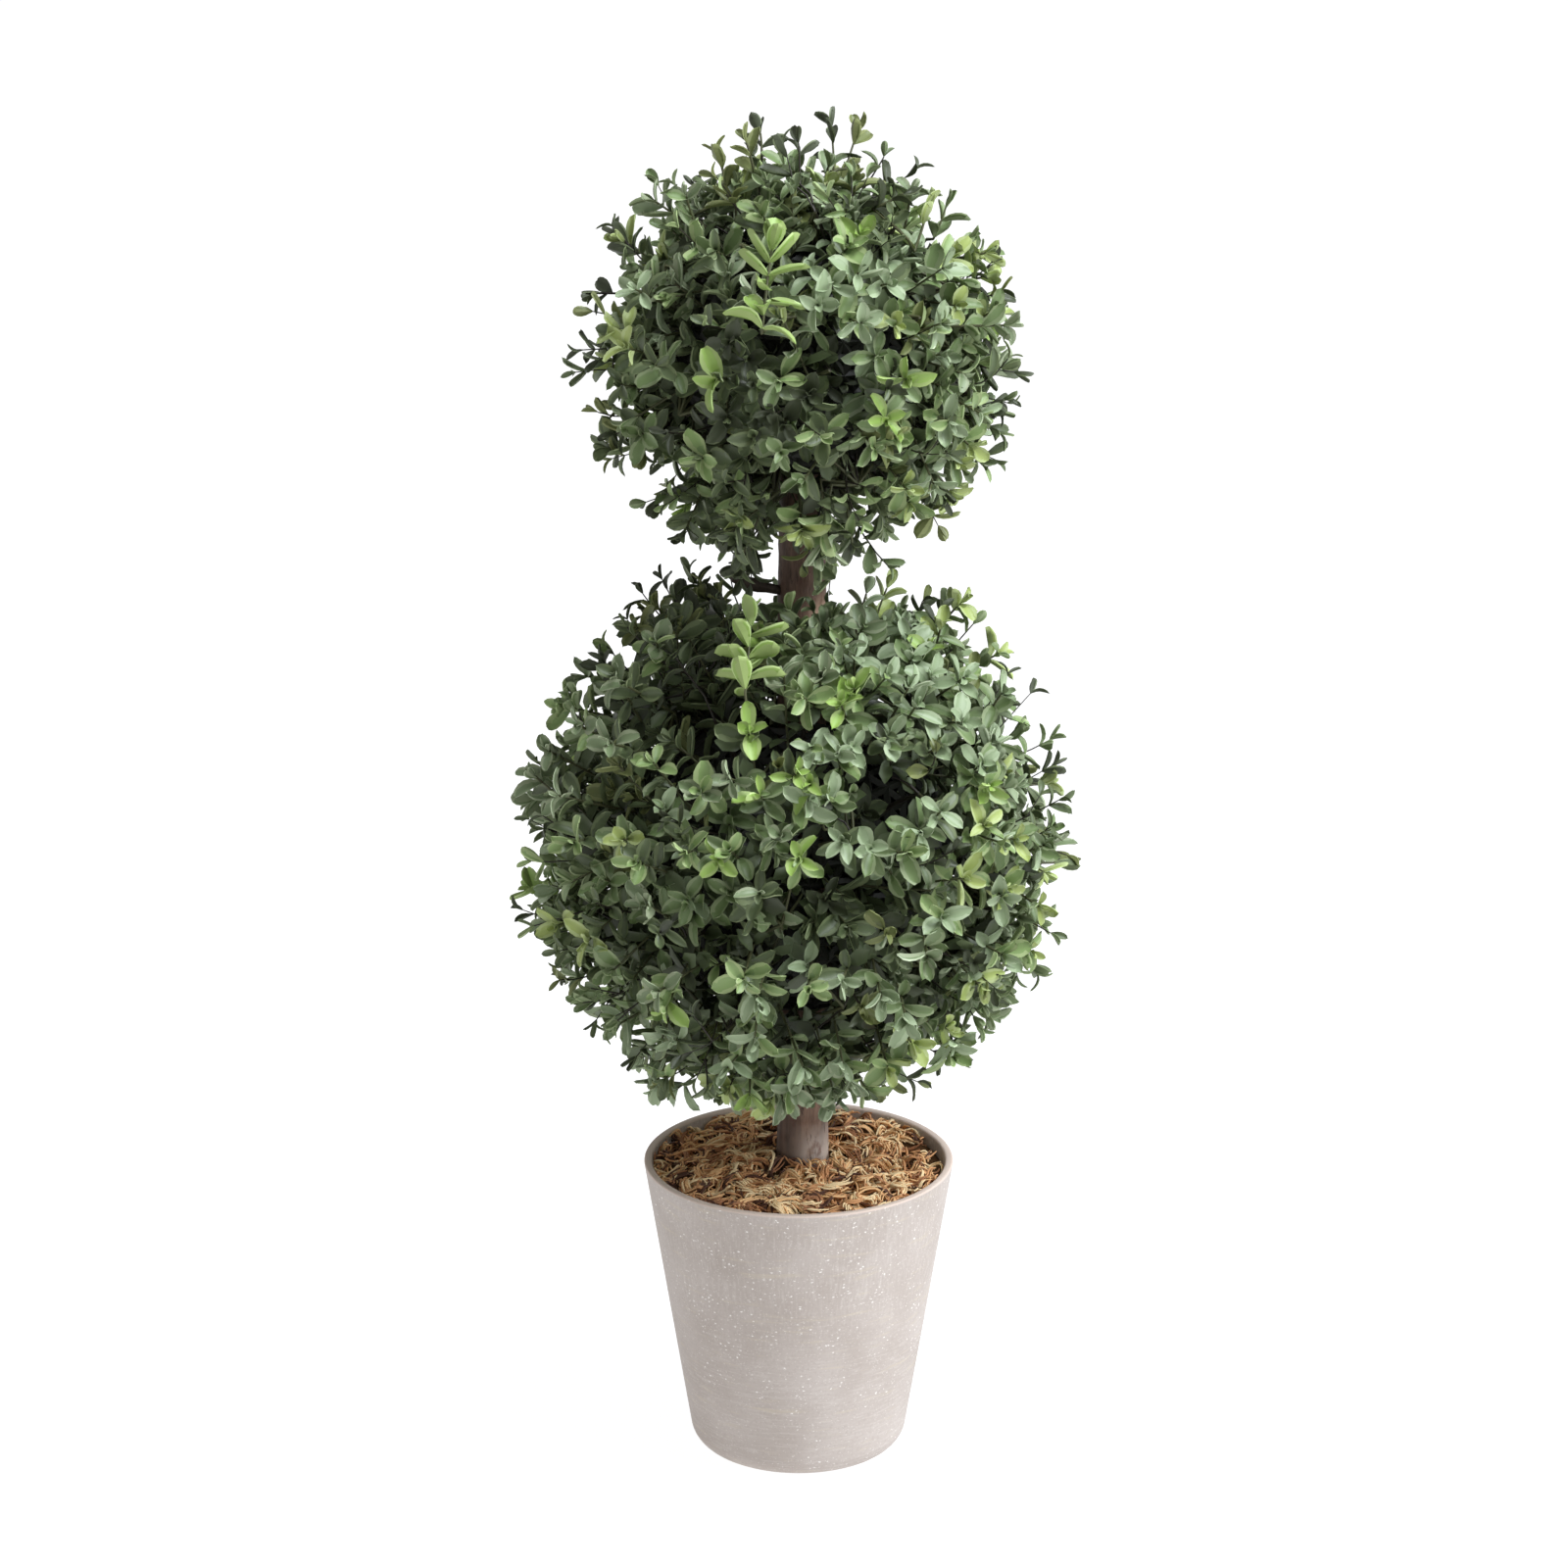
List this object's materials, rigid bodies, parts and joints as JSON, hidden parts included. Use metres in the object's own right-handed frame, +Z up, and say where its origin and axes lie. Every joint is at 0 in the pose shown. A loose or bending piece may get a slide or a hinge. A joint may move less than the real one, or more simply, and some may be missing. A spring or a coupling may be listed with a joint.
{
  "type": "artificial double ball topiary in a pot",
  "caption": "Artificial boxwood topiary: a straight trunk that carries a large clipped ball of leaves and a smaller one above it, standing in a tapered pot topped with coir.",
  "frame": {"origin": "centre of the pot's flat underside", "axes": "+Z up along the trunk, -Y towards the side that the picture shows, +X to that view's right"},
  "size_m": [0.2778, 0.266, 0.6802],
  "materials": {
    "pot_composite": "matte stone-look composite with pale speckles",
    "cement": "plain cast cement, hidden",
    "coir": "loose curled coir fibre",
    "trunk_bark": "natural brown bark",
    "foliage": "satin moulded leaves"
  },
  "bodies": {
    "root": {"pot": "pot_composite", "cement_plug": "cement", "coir_fill": "coir", "trunk": "trunk_bark", "neck_shoot": "trunk_bark", "lower_ball": "foliage", "upper_ball": "foliage"}
  },
  "joints": []
}
